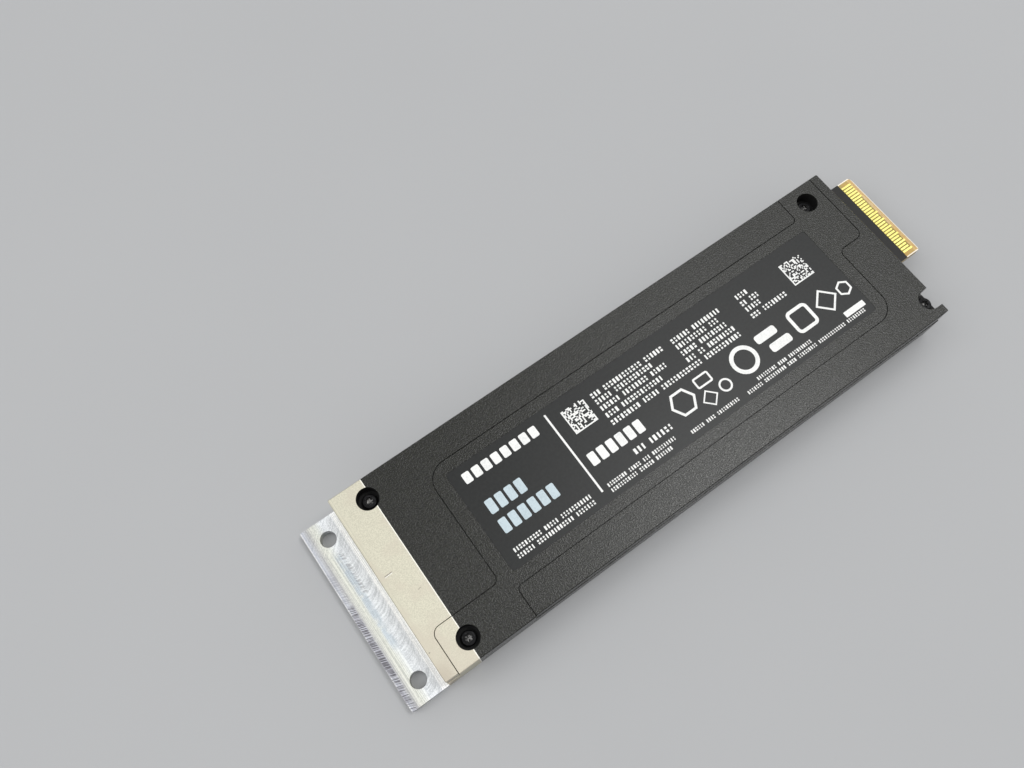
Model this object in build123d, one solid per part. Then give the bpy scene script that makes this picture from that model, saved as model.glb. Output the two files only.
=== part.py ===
from build123d import *
import os

# Short ruler-format solid-state drive in a slim two-part aluminium case.
# +X points to the card edge, +Y across the case and +Z out of the labelled face.
# The origin is the middle of the underside. Sizes are in millimetres.

# Case plan
case_length = 104.2
case_width = 33.75
upper_inset = 0.15
corner_radius = 0.25
edge_break = 0.12

# Case walls and the stack from the underside to the labelled face
side_wall = 1.0
front_wall = 1.2
rear_wall = 1.1
floor_thickness = 1.6
room_below_board = 2.365
board_thickness = 1.57
room_above_board = 2.065
ceiling_thickness = 0.9
lid_thickness = 1.0

# Front lip with its two latch holes
lip_length = 6.9
lip_thickness = 2.0
latch_hole_diameter = 2.7
latch_hole_side_setback = 3.45
latch_hole_setback = 3.4
latch_hole_edge_break = 0.05

# Inlaid lid: a middle band with an ear to a side edge at two opposite corners
seam_gap = 0.14
band_side_margin = 5.4
band_front_margin = 15.0
band_rear_margin = 7.55
front_ear_start = 2.4
front_ear_length = 14.1
front_ear_depth = 7.5
rear_ear_start = 1.9
rear_ear_length = 7.55
rear_ear_depth = 14.1
band_corner_radius = 3.5
ear_corner_radius = 1.3
ear_root_radius = 1.0

# Label in a shallow recess of the lid
label_thickness = 0.08
label_recess = 0.1
label_side_margin = 2.1
label_front_margin = 2.55
label_rear_margin = 2.4
label_corner_radius = 0.6
label_fit = 0.03

# Case screws, measured in from the ends and sides of the case
screw_side_setback = 3.575
front_lid_screw_setback = 6.4
front_case_screw_setback = 5.4
rear_lid_screw_setback = 5.4
rear_case_screw_setback = 1.3
screw_diameter = 1.6
screw_hole_clearance = 0.1
screw_head_diameter = 2.5
screw_head_height = 0.75
screw_head_break = 0.15
screw_head_sink = 1.75
screw_tip_cover = 1.0
screw_hole_runout = 0.2
drive_lobes = 6
drive_diameter = 1.42
drive_waist = 1.02
drive_flute_diameter = 0.5
drive_depth = 0.4
counterbore_diameter = 3.75
post_diameter = 5.0

# Main board and its card edge
board_clearance = 0.12
tongue_reach = 7.65
tongue_side_setback = 3.0
tongue_side_margin = 0.97
tongue_outer_corner_radius = 0.95
tongue_inner_corner_radius = 0.65
tongue_bevel_length = 0.75
tongue_bevel_height = 0.42
contact_count = 28
contact_pitch = 0.6
contact_width = 0.38
contact_thickness = 0.05
contact_length = 2.15
contact_setback = 0.3
short_contact_cut = 0.35
signal_contacts = 16
ground_contact_step = 3
power_contacts = 6

# Parts on the board: length along X, width along Y, height off the board
flash_length = 14.0
flash_width = 18.0
flash_height = 1.1
controller_size = 17.0
controller_height = 1.25
memory_length = 8.0
memory_width = 12.0
memory_height = 1.0
substrate_thickness = 0.25
substrate_margin = 0.2
backup_length = 7.3
backup_width = 4.3
backup_height = 1.8
backup_rows = 4
backup_pitch = 5.0
backup_terminal = 0.25
power_column_length = 4.6
power_chip_size = 4.6
power_chip_height = 0.9
power_row_clearance = 0.5
inductor_size = 4.2
inductor_height = 1.5
inductor_corner = 0.5
small_chip_length = 4.0
small_chip_width = 3.0
small_chip_height = 0.8
crystal_length = 2.5
crystal_width = 2.0
crystal_height = 0.6
bypass_length = 1.0
bypass_width = 0.5
bypass_height = 0.5
bypass_pitch = 1.1
bypass_count = 12
lamp_width = 1.6
lamp_depth = 0.8
lamp_height = 0.8
lamp_spacing = 4.0
lamp_hole_diameter = 0.7

# Places that follow from the sizes above
total_length = lip_length + case_length + tongue_reach
lip_front = -total_length / 2
case_front = lip_front + lip_length
case_rear = case_front + case_length
card_tip = case_rear + tongue_reach
half_width = case_width / 2
upper_half_width = half_width - upper_inset
inner_half_width = half_width - side_wall
inner_front = case_front + front_wall
inner_rear = case_rear - rear_wall
board_seat = floor_thickness + room_below_board
board_top = board_seat + board_thickness
ceiling_height = board_top + room_above_board
lid_floor = ceiling_height + ceiling_thickness
case_height = lid_floor + lid_thickness
band_half_width = half_width - band_side_margin
band_front = case_front + band_front_margin
band_rear = case_rear - band_rear_margin
front_ear_x = case_front + front_ear_start
front_ear_end = front_ear_x + front_ear_length
rear_ear_end = case_rear - rear_ear_start
rear_ear_x = rear_ear_end - rear_ear_length
screw_y = half_width - screw_side_setback
screw_seat = case_height - screw_head_sink - screw_head_height
tongue_width = (contact_count - 1) * contact_pitch + contact_width + 2 * tongue_side_margin
tongue_high = half_width - tongue_side_setback
tongue_low = tongue_high - tongue_width
tongue_middle = (tongue_low + tongue_high) / 2
board_front = inner_front + board_clearance
board_rear = inner_rear - board_clearance
board_half_width = inner_half_width - board_clearance
power_pitch = 2 * (screw_y - post_diameter / 2 - power_row_clearance) / 3
side_row_y = (flash_width / 2 + board_half_width) / 2

# Two screws hold the lid's ears, and two hold the upper case
front_lid_screw = (case_front + front_lid_screw_setback, -screw_y)
rear_lid_screw = (case_rear - rear_lid_screw_setback, screw_y)
front_case_screw = (case_front + front_case_screw_setback, screw_y)
rear_case_screw = (case_rear - rear_case_screw_setback, -screw_y)
lid_screws = [front_lid_screw, rear_lid_screw]
upper_case_screws = [front_case_screw, rear_case_screw]
all_screws = lid_screws + upper_case_screws


def block(x0, x1, y0, y1, z0, z1):
    """A box between two opposite corners."""
    middle = Pos((x0 + x1) / 2, (y0 + y1) / 2, (z0 + z1) / 2)
    return middle * Box(x1 - x0, y1 - y0, z1 - z0)


def post(spot, diameter, z0, z1):
    """An upright cylinder over a spot of the plan."""
    return Pos(spot[0], spot[1], (z0 + z1) / 2) * Cylinder(diameter / 2, z1 - z0)


def case_slab(x0, x1, y0, y1, z0, z1):
    """A case-sized block with rounded upright corners."""
    slab = block(x0, x1, y0, y1, z0, z1)
    return fillet(slab.edges().filter_by(Axis.Z), corner_radius)


def break_rim(slab, end):
    """Break the rim of a slab's top (end -1) or bottom (end 0) face."""
    return chamfer(slab.faces().sort_by(Axis.Z)[end].edges(), edge_break)


def walled_post(spot, grow, z0, z1):
    """A screw post with the web that joins it to the nearest side wall."""
    radius = post_diameter / 2 + grow
    wall_y = inner_half_width if spot[1] > 0 else -inner_half_width
    low, high = sorted((spot[1], wall_y))
    web = block(spot[0] - radius, spot[0] + radius, low, high, z0, z1)
    return post(spot, 2 * radius, z0, z1) + web


def lid_plan():
    """The lid's outline, running past the sides of the case where its ears reach them."""
    beyond = 2 * half_width
    front_ear_y = front_ear_depth - half_width
    rear_ear_y = half_width - rear_ear_depth
    corners = [
        (front_ear_x, -beyond, 0),
        (front_ear_x, front_ear_y, ear_corner_radius),
        (band_front, front_ear_y, ear_corner_radius),
        (band_front, band_half_width, band_corner_radius),
        (rear_ear_x, band_half_width, ear_root_radius),
        (rear_ear_x, beyond, 0),
        (rear_ear_end, beyond, 0),
        (rear_ear_end, rear_ear_y, ear_corner_radius),
        (band_rear, rear_ear_y, ear_corner_radius),
        (band_rear, -band_half_width, band_corner_radius),
        (front_ear_end, -band_half_width, ear_root_radius),
        (front_ear_end, -beyond, 0),
    ]
    points = [corner[:2] for corner in corners]
    radii = [corner[2] for corner in corners]
    return make_face(FilletPolyline(*points, radius=radii, close=True))


def lid_ears(grow):
    """The full-depth side walls and screw posts under the lid's two ears."""
    front_wall_piece = block(front_ear_x - grow, front_ear_end + grow, -2 * half_width,
                             grow - inner_half_width, board_top, lid_floor)
    rear_wall_piece = block(rear_ear_x - grow, rear_ear_end + grow, inner_half_width - grow,
                            2 * half_width, board_top, lid_floor)
    ears = front_wall_piece + rear_wall_piece
    for spot in lid_screws:
        ears += walled_post(spot, grow, board_top, lid_floor)
    return ears


def screw_bores(spots):
    """Counterbores and clearance holes through a piece above the board."""
    bores = Part()
    for spot in spots:
        bores += post(spot, counterbore_diameter, screw_seat, 2 * case_height)
        bores += post(spot, screw_diameter + 2 * screw_hole_clearance, 0, case_height)
    return bores


def label_plan(grow):
    """The label's outline on the lid's middle band."""
    x0 = band_front + label_front_margin - grow
    x1 = band_rear - label_rear_margin + grow
    width = 2 * (band_half_width - label_side_margin + grow)
    outline = RectangleRounded(x1 - x0, width, label_corner_radius)
    return Pos((x0 + x1) / 2, 0) * outline


def make_upper_case():
    """The upper half: a shallow tray, mouth down, with the lid's pocket milled in its top."""
    outside = case_slab(case_front, case_rear, -upper_half_width, upper_half_width,
                        board_top, case_height)
    outside = break_rim(outside, -1)
    shell = outside - block(inner_front, inner_rear, -inner_half_width, inner_half_width,
                            board_top, ceiling_height)
    for spot in upper_case_screws:
        shell += walled_post(spot, 0, board_top, ceiling_height) & outside
    pocket = offset(lid_plan(), amount=seam_gap)
    shell -= Pos(0, 0, lid_floor) * extrude(pocket, lid_thickness)
    shell -= lid_ears(seam_gap)
    shell -= screw_bores(upper_case_screws)
    # The rear counterbore runs out through the end of the case
    reach = counterbore_diameter / 2
    shell -= block(rear_case_screw[0], card_tip, rear_case_screw[1] - reach,
                   rear_case_screw[1] + reach, screw_seat, 2 * case_height)
    for side in (-1, 1):
        lamp_hole = Cylinder(lamp_hole_diameter / 2, 2 * front_wall, rotation=(0, 90, 0))
        shell -= Pos(case_front, side * lamp_spacing / 2, board_top + lamp_height / 2) * lamp_hole
    return shell


def make_lid_plate():
    """The inlaid lid: a flat plate whose two ears reach down to the board and the lower case."""
    plate = Pos(0, 0, lid_floor) * extrude(lid_plan(), lid_thickness) + lid_ears(0)
    envelope = case_slab(case_front, case_rear, -half_width, upper_half_width,
                         board_top, case_height)
    plate = plate & break_rim(envelope, -1)
    plate -= Pos(0, 0, case_height - label_recess) * extrude(label_plan(label_fit), label_recess)
    return plate - screw_bores(lid_screws)


def make_lower_case():
    """The lower half: a tray with four screw posts, and a low lip ahead of its front wall."""
    base = case_slab(lip_front, case_rear, -half_width, half_width, 0, lip_thickness)
    walls = case_slab(case_front, case_rear, -half_width, half_width, lip_thickness, board_top)
    outside = break_rim(base, 0) + walls
    tray = outside - block(inner_front, inner_rear, -inner_half_width, inner_half_width,
                           floor_thickness, board_top)
    for spot in all_screws:
        tray += walled_post(spot, 0, floor_thickness, board_seat) & outside
    for spot in all_screws:
        tray -= post(spot, screw_diameter, screw_tip_cover - screw_hole_runout, board_top)
    tray -= block(inner_rear - post_diameter, card_tip, tongue_low - board_clearance,
                  tongue_high + board_clearance, board_seat, board_top)
    for side in (-1, 1):
        hole_spot = (lip_front + latch_hole_setback, side * (half_width - latch_hole_side_setback))
        tray -= post(hole_spot, latch_hole_diameter, -lip_thickness, 2 * lip_thickness)
        flare = Cone(latch_hole_diameter / 2 + latch_hole_edge_break, latch_hole_diameter / 2,
                     latch_hole_edge_break)
        sink = Pos(0, 0, latch_hole_edge_break / 2) * flare
        tray -= Pos(*hole_spot, 0) * sink
        tray -= Pos(*hole_spot, lip_thickness) * Rot(180, 0, 0) * sink
    return tray


def make_label():
    """The printed label, a thin film in the lid's recess."""
    return Pos(0, 0, case_height - label_recess) * extrude(label_plan(0), label_thickness)


def make_case_screws():
    """Four machine screws with low heads and a six-lobe recess."""
    head_top = screw_seat + screw_head_height
    head = Pos(0, 0, screw_seat + screw_head_height / 2)
    head = head * Cylinder(screw_head_diameter / 2, screw_head_height)
    head = chamfer(head.faces().sort_by(Axis.Z)[-1].edges(), screw_head_break)
    recess = post((0, 0), drive_diameter, head_top - drive_depth, head_top)
    flute = post((0, 0), drive_flute_diameter, head_top - drive_depth, head_top)
    for spot in PolarLocations((drive_waist + drive_flute_diameter) / 2, drive_lobes):
        recess -= spot * flute
    screw = head - recess + post((0, 0), screw_diameter, screw_tip_cover, screw_seat)
    return [Pos(*spot, 0) * screw for spot in all_screws]


def make_main_board():
    """The board: a rectangle with a bevelled tongue towards one side for the card edge."""
    body = Pos((board_front + board_rear) / 2, 0) * Rectangle(board_rear - board_front,
                                                              2 * board_half_width)
    tongue_length = card_tip - board_rear
    tongue = Pos((board_rear + card_tip) / 2, tongue_middle)
    tongue = tongue * Rectangle(tongue_length, tongue_width)
    outer_corner = tongue.vertices().group_by(Axis.Y)[-1].sort_by(Axis.X)[-1]
    tongue = fillet(outer_corner, tongue_outer_corner_radius)
    inner_corner = tongue.vertices().group_by(Axis.Y)[0].sort_by(Axis.X)[-1]
    plan = body + fillet(inner_corner, tongue_inner_corner_radius)
    bevel_start = card_tip - tongue_bevel_length
    side_view = Polyline(
        (board_front, board_seat),
        (bevel_start, board_seat),
        (card_tip, board_seat + tongue_bevel_height),
        (card_tip, board_top - tongue_bevel_height),
        (bevel_start, board_top),
        (board_front, board_top),
        close=True,
    )
    profile = extrude(Plane.XZ * make_face(side_view), half_width, both=True)
    board = Pos(0, 0, board_seat) * extrude(plan, board_thickness) & profile
    for spot in all_screws:
        board -= post(spot, screw_diameter + 2 * screw_hole_clearance, board_seat, board_top)
    # The rear case screw passes through a slot open at the board's end
    reach = screw_diameter / 2 + screw_hole_clearance
    return board - block(rear_case_screw[0], case_rear, rear_case_screw[1] - reach,
                         rear_case_screw[1] + reach, board_seat, board_top)


def make_contacts(side):
    """One row of gold contacts on the upper (1) or lower (-1) face of the tongue.

    Power contacts and the ground contacts among the signals run out furthest, to meet first.
    """
    x1 = card_tip - tongue_bevel_length - contact_setback
    z0, z1 = board_levels(side, contact_thickness)
    first = tongue_middle - (contact_count - 1) * contact_pitch / 2
    row = []
    for index in range(contact_count):
        y = first + index * contact_pitch
        is_ground = index < signal_contacts and index % ground_contact_step == 0
        is_power = index >= contact_count - power_contacts
        end = x1 if is_ground or is_power else x1 - short_contact_cut
        row.append(block(x1 - contact_length, end, y - contact_width / 2, y + contact_width / 2,
                         z0, z1))
    return row


def board_levels(side, height):
    """The heights between which a part stands on the upper (1) or lower (-1) face."""
    if side > 0:
        return board_top, board_top + height
    return board_seat - height, board_seat


def on_board(x, y, length, width, height, side):
    """A block standing on one face of the board."""
    z0, z1 = board_levels(side, height)
    return block(x - length / 2, x + length / 2, y - width / 2, y + width / 2, z0, z1)


def moulded_chip(x, y, length, width, height, side):
    """A chip package: a thin substrate with a slightly smaller moulded body on it."""
    body = on_board(x, y, length - 2 * substrate_margin, width - 2 * substrate_margin, height, side)
    return on_board(x, y, length, width, substrate_thickness, side) + body


def backup_capacitor(x, y, side):
    """A moulded capacitor with a narrower terminal at each end."""
    body = on_board(x, y, backup_length - 2 * backup_terminal, backup_width, backup_height, side)
    return body + on_board(x, y, backup_length, backup_width / 2, backup_height / 2, side)


def inductor(x, y):
    """A shielded inductor with its corners cut."""
    body = on_board(x, y, inductor_size, inductor_size, inductor_height, 1)
    return chamfer(body.edges().filter_by(Axis.Z), inductor_corner)


def bypass_row(x, y, side):
    """A row of small ceramic capacitors along X."""
    first = x - (bypass_count - 1) * bypass_pitch / 2
    return [on_board(first + index * bypass_pitch, y, bypass_width, bypass_length, bypass_height, side)
            for index in range(bypass_count)]


def thermal_pad(x0, x1, width, chip_height, side):
    """A soft pad between the tops of chips and the case."""
    if side > 0:
        return block(x0, x1, -width / 2, width / 2, board_top + chip_height, ceiling_height)
    return block(x0, x1, -width / 2, width / 2, floor_thickness, board_seat - chip_height)


# Columns of parts, spread evenly along the board from the front to the card edge
column_lengths = [backup_length, backup_length, flash_length, flash_length, controller_size,
                  memory_length, power_column_length]
column_gap = (board_rear - board_front - sum(column_lengths)) / (len(column_lengths) + 1)
columns = []
column_start = board_front
for column_length in column_lengths:
    columns.append(column_start + column_gap + column_length / 2)
    column_start += column_gap + column_length
backup_a, backup_b, flash_a, flash_b, controller_x, memory_x, power_x = columns
backup_ys = [(row - (backup_rows - 1) / 2) * backup_pitch for row in range(backup_rows)]

nodes = {
    "lower_case": make_lower_case(),
    "main_board": make_main_board(),
    "edge_contacts_top": make_contacts(1),
    "edge_contacts_bottom": make_contacts(-1),
    "backup_capacitors": [backup_capacitor(x, y, side) for x in (backup_a, backup_b)
                          for y in backup_ys for side in (1, -1)],
    "controller": moulded_chip(controller_x, 0, controller_size, controller_size,
                               controller_height, 1),
    "power_manager": on_board(power_x, power_pitch, power_chip_size, power_chip_size,
                              power_chip_height, 1),
    "power_inductors": [inductor(power_x, 0), inductor(power_x, -power_pitch)],
    "load_switch": on_board(power_x, power_pitch, small_chip_length, small_chip_width,
                            small_chip_height, -1),
    "boot_memory": on_board(power_x, -power_pitch, small_chip_length, small_chip_width,
                            small_chip_height, -1),
    "clock_crystal": on_board(controller_x, side_row_y, crystal_length, crystal_width,
                              crystal_height, 1),
    "bypass_capacitors_top": bypass_row(flash_b, side_row_y, 1)
    + bypass_row(controller_x, -side_row_y, 1),
    "bypass_capacitors_bottom": bypass_row(controller_x, 0, -1)
    + bypass_row(controller_x, side_row_y, -1) + bypass_row(controller_x, -side_row_y, -1),
    "status_lamps": [on_board(board_front + lamp_depth / 2, side * lamp_spacing / 2, lamp_depth,
                              lamp_width, lamp_height, 1) for side in (-1, 1)],
    "controller_thermal_pad": thermal_pad(controller_x - controller_size / 2,
                                          controller_x + controller_size / 2,
                                          controller_size, controller_height, 1),
    "upper_case": make_upper_case(),
    "lid_plate": make_lid_plate(),
    "label": make_label(),
    "case_screws": make_case_screws(),
}
for side, face in ((1, "top"), (-1, "bottom")):
    nodes[f"flash_{face}_front"] = moulded_chip(flash_a, 0, flash_length, flash_width,
                                                flash_height, side)
    nodes[f"flash_{face}_rear"] = moulded_chip(flash_b, 0, flash_length, flash_width,
                                               flash_height, side)
    nodes[f"working_memory_{face}"] = moulded_chip(memory_x, 0, memory_length, memory_width,
                                                   memory_height, side)
    nodes[f"flash_thermal_pad_{face}"] = thermal_pad(flash_a - flash_length / 2,
                                                     flash_b + flash_length / 2,
                                                     flash_width, flash_height, side)

os.makedirs("parts", exist_ok=True)
for name, shape in nodes.items():
    solids = Compound(children=shape) if isinstance(shape, list) else shape
    export_step(solids, f"parts/{name}.step")
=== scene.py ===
import math

import bmesh
import bpy
from mathutils import Euler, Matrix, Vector


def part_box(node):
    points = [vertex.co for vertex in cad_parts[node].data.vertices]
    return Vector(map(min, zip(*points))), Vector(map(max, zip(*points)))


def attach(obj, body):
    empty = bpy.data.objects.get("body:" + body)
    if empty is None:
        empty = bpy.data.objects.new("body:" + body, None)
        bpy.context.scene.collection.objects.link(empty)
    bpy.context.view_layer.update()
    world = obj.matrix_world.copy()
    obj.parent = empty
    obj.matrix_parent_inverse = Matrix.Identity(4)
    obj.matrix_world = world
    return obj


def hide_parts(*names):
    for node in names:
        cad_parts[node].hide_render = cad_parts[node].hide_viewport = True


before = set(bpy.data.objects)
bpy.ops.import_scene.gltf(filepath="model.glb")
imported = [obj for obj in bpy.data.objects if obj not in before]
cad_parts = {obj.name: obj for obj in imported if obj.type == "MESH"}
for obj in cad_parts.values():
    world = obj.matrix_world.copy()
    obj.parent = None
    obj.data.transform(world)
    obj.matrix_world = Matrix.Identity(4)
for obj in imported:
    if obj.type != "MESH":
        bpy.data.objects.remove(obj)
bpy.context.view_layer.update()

# Lower case: a tray machined from aluminium that carries the board and the four screw posts.
# It is blasted and anodised black, with its front end left as bare blasted metal. The low lip
# ahead of its front wall has two latch holes and stays bright, as the cutter made it.
mm = 0.001
case_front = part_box("upper_case")[0].x / mm
lip_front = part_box("lower_case")[0].x / mm
lip_length = case_front - lip_front
lip_top = 2.0
bare_band = 6.12
bore_rim = 1.9
bore_mouth = 0.25
blast_grain = 0.22
coat_relief = 0.035
coat_specular = 0.38
black_roughness = 0.29
band_roughness_gain = 0.24
bore_roughness_gain = 0.45
band_metallic = 0.45
lip_metallic_gain = 0.15
anodic_black = (0.0010, 0.0010, 0.0008)
anodic_sheen = (0.0055, 0.0062, 0.0012)
# Painted shade: coat colour inside the counterbores below their mouth.
painted_bore_shade = (0.0022, 0.0022, 0.0020)
blasted_pale = (0.568, 0.548, 0.445)
blasted_dull = (0.442, 0.424, 0.340)
blasted_handled = (0.480, 0.440, 0.360)
blasted_soiled = (0.38, 0.335, 0.270)
# Painted highlight: colour and width of a bright line along the bare band's border.
painted_border_highlight = (0.92, 0.91, 0.86)
border_highlight_width = 0.22
scratch_dark = (0.20, 0.185, 0.16)
scratch_bright = (0.80, 0.79, 0.74)
blast_fine = 0.18
brush_pitch = 0.10
# Marks on the bare band: start, end and width.
dent_lines = [
    ((-51.45, 1.46), (-50.2, 1.50), 0.16),
    ((-48.3, -3.1), (-47.8, -3.0), 0.10),
    ((-52.1, -11.8), (-52.0, -11.8), 0.22),
]
burr_line = ((-51.45, 1.30), (-50.2, 1.34), 0.16)
# Colour stops across the lip from its front edge. The first two paint a highlight on the front edge's
# chamfer.
lip_bands_and_edge_highlight = [
    (0.000, (0.74, 0.74, 0.74)),
    (0.016, (0.74, 0.74, 0.74)),
    (0.030, (0.49, 0.508, 0.560)),
    (0.170, (0.48, 0.480, 0.465)),
    (0.230, (0.59, 0.592, 0.545)),
    (0.320, (0.62, 0.628, 0.565)),
    (0.400, (0.65, 0.662, 0.62)),
    (0.530, (0.73, 0.755, 0.77)),
    (0.800, (0.78, 0.80, 0.815)),
    (0.860, (1.00, 1.00, 0.985)),
]
cutter_blue = (0.50, 0.55, 0.59)
cutter_shade = (0.62, 0.628, 0.64)
chatter_lilac = (0.42, 0.422, 0.470)
chatter_grey = (0.11, 0.107, 0.118)
feed_pitch = 0.11
arc_pitch = 0.30
arc_radius = 2.6
arc_start = 3.5
chatter_pitch = 0.16
grit_size = 0.16
# Zones of the lip, as low, high and fade: across it from its front edge, or along it.
blue_across = (2.9, 3.5, 0.5)
blue_along = (-6.0, 9.0, 2.5)
arcs_across = (3.7, 5.6, 0.3)
front_chatter_across = (0.15, 0.85, 0.35)
inner_chatter_across = (3.6, 4.1, 0.2)
inner_chatter_along = (3.0, 10.0, 1.0)
swirl_reach = (2.4, 4.2)
latch_hole_x = -55.975
latch_hole_y = 13.425


class Wire:
    """One output of a node. Arithmetic on it adds Math nodes to the same recipe."""

    def __init__(self, recipe, socket):
        self.recipe = recipe
        self.socket = socket

    def math(self, operation, first, second=0.0):
        return self.recipe.add("ShaderNodeMath", {"operation": operation}, {0: first, 1: second})

    def __add__(self, other):
        return self.math("ADD", self, other)

    def __radd__(self, other):
        return self.math("ADD", other, self)

    def __sub__(self, other):
        return self.math("SUBTRACT", self, other)

    def __rsub__(self, other):
        return self.math("SUBTRACT", other, self)

    def __mul__(self, other):
        return self.math("MULTIPLY", self, other)

    def __rmul__(self, other):
        return self.math("MULTIPLY", other, self)

    def __truediv__(self, other):
        return self.math("DIVIDE", self, other)

    def __lt__(self, other):
        return self.math("LESS_THAN", self, other)

    def __gt__(self, other):
        return self.math("GREATER_THAN", self, other)

    def __abs__(self):
        return self.math("ABSOLUTE", self)

    def lowest(self, other):
        return self.math("MINIMUM", self, other)

    def highest(self, other):
        return self.math("MAXIMUM", self, other)

    def root(self):
        return self.math("SQRT", self)


class Recipe:
    """A node tree that is written as expressions."""

    def __init__(self, tree):
        self.tree = tree

    def add(self, kind, settings, inputs, output=0):
        """Add one node: its settings first, then the values or links of its sockets."""
        node = self.tree.nodes.new(kind)
        for setting, value in settings.items():
            if setting == "stops":
                ramp = node.color_ramp.elements
                while len(ramp) < len(value):
                    ramp.new(1.0)
                for stop, (place, colour) in zip(ramp, value):
                    stop.position = place
                    stop.color = (*colour, 1.0)
            else:
                setattr(node, setting, value)
        for name, value in inputs.items():
            for link in value if isinstance(value, list) else [value]:
                self.join(node.inputs[name], link)
        return Wire(self, node.outputs[output])

    def join(self, socket, value):
        """Link a wire to a socket, or set the socket's own value."""
        if isinstance(value, Wire):
            self.tree.links.new(value.socket, socket)
        else:
            socket.default_value = (*value, 1.0) if socket.type == "RGBA" else value

    def at(self, x, y, z):
        return self.add("ShaderNodeCombineXYZ", {}, {0: x, 1: y, 2: z})


class Finish(Recipe):
    """A material whose patterns are worked out in millimetres on the part."""

    def __init__(self, name):
        self.material = bpy.data.materials.new(name)
        self.material.use_nodes = True
        super().__init__(self.material.node_tree)
        self.shader = self.tree.nodes["Principled BSDF"]
        place = self.add("ShaderNodeTexCoord", {}, {}, "Object")
        self.place = self.add("ShaderNodeVectorMath", {"operation": "SCALE"},
                              {0: place, "Scale": 1 / mm})
        self.x, self.y, self.z = (
            self.add("ShaderNodeSeparateXYZ", {}, {0: self.place}, axis) for axis in "XYZ")

    def noise(self, size, detail=2.0, place=None):
        """Uneven cloud with spots of about that size."""
        return self.add("ShaderNodeTexNoise", {},
                        {"Vector": place or self.place, "Scale": 1 / size, "Detail": detail})

    def ease(self, value, low, high):
        """0 below low, 1 above high, smooth between them."""
        return self.add("ShaderNodeMapRange", {"interpolation_type": "SMOOTHSTEP"},
                        {"Value": value, "From Min": low, "From Max": high})

    def window(self, value, low, high, fade):
        """1 from low to high, fading out beyond both."""
        return self.ease(value, low - fade, low) * (1 - self.ease(value, high, high + fade))

    def span(self, x, y):
        """Distance from an upright line, seen from above."""
        along = self.x - x
        aside = self.y - y
        return (along * along + aside * aside).root()

    def scratch(self, start, end, width):
        """1 on a straight scratch seen from above, 0 off it."""
        run = Vector(end) - Vector(start)
        along = self.x - start[0]
        aside = self.y - start[1]
        share = ((along * run.x + aside * run.y) / run.length_squared).highest(0.0).lowest(1.0)
        off_x = along - share * run.x
        off_y = aside - share * run.y
        return 1 - self.ease((off_x * off_x + off_y * off_y).root(), width * 0.25, width * 0.5)

    def blend(self, share, first, second):
        """First colour at 0, second at 1."""
        return self.add("ShaderNodeMix", {"data_type": "RGBA"}, {0: share, 6: first, 7: second}, 2)

    def shade(self, colour, tint):
        """One colour multiplied by another."""
        return self.add("ShaderNodeMix", {"data_type": "RGBA", "blend_type": "MULTIPLY"},
                        {0: 1.0, 6: colour, 7: tint}, 2)

    def ramp(self, value, stops):
        return self.add("ShaderNodeValToRGB", {"stops": stops}, {0: value})

    def relief(self, height, depth):
        """Bump of that depth in millimetres."""
        self.paint({"Normal": self.add("ShaderNodeBump", {}, {"Height": height,
                                                              "Distance": depth * mm})})

    def paint(self, sockets):
        for name, value in sockets.items():
            self.join(self.shader.inputs[name], value)


def dress(finish, *nodes):
    """Give carried-over nodes a finish."""
    for node in nodes:
        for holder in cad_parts[node].material_slots:
            holder.material = finish.material


def screw_boxes():
    """The lowest and highest corner of each case screw: there is one in each quarter of the plan."""
    quarters = {}
    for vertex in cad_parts["case_screws"].data.vertices:
        quarters.setdefault((vertex.co.x > 0, vertex.co.y > 0), []).append(vertex.co)
    boxes = []
    for quarter in sorted(quarters):
        low = Vector(min(point[axis] for point in quarters[quarter]) for axis in range(3))
        high = Vector(max(point[axis] for point in quarters[quarter]) for axis in range(3))
        boxes.append((low, high))
    return boxes


def screw_axes():
    """Where each screw's axis stands in the plan, in millimetres."""
    return [((low + high) / 2 / mm).xy for low, high in screw_boxes()]


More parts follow.
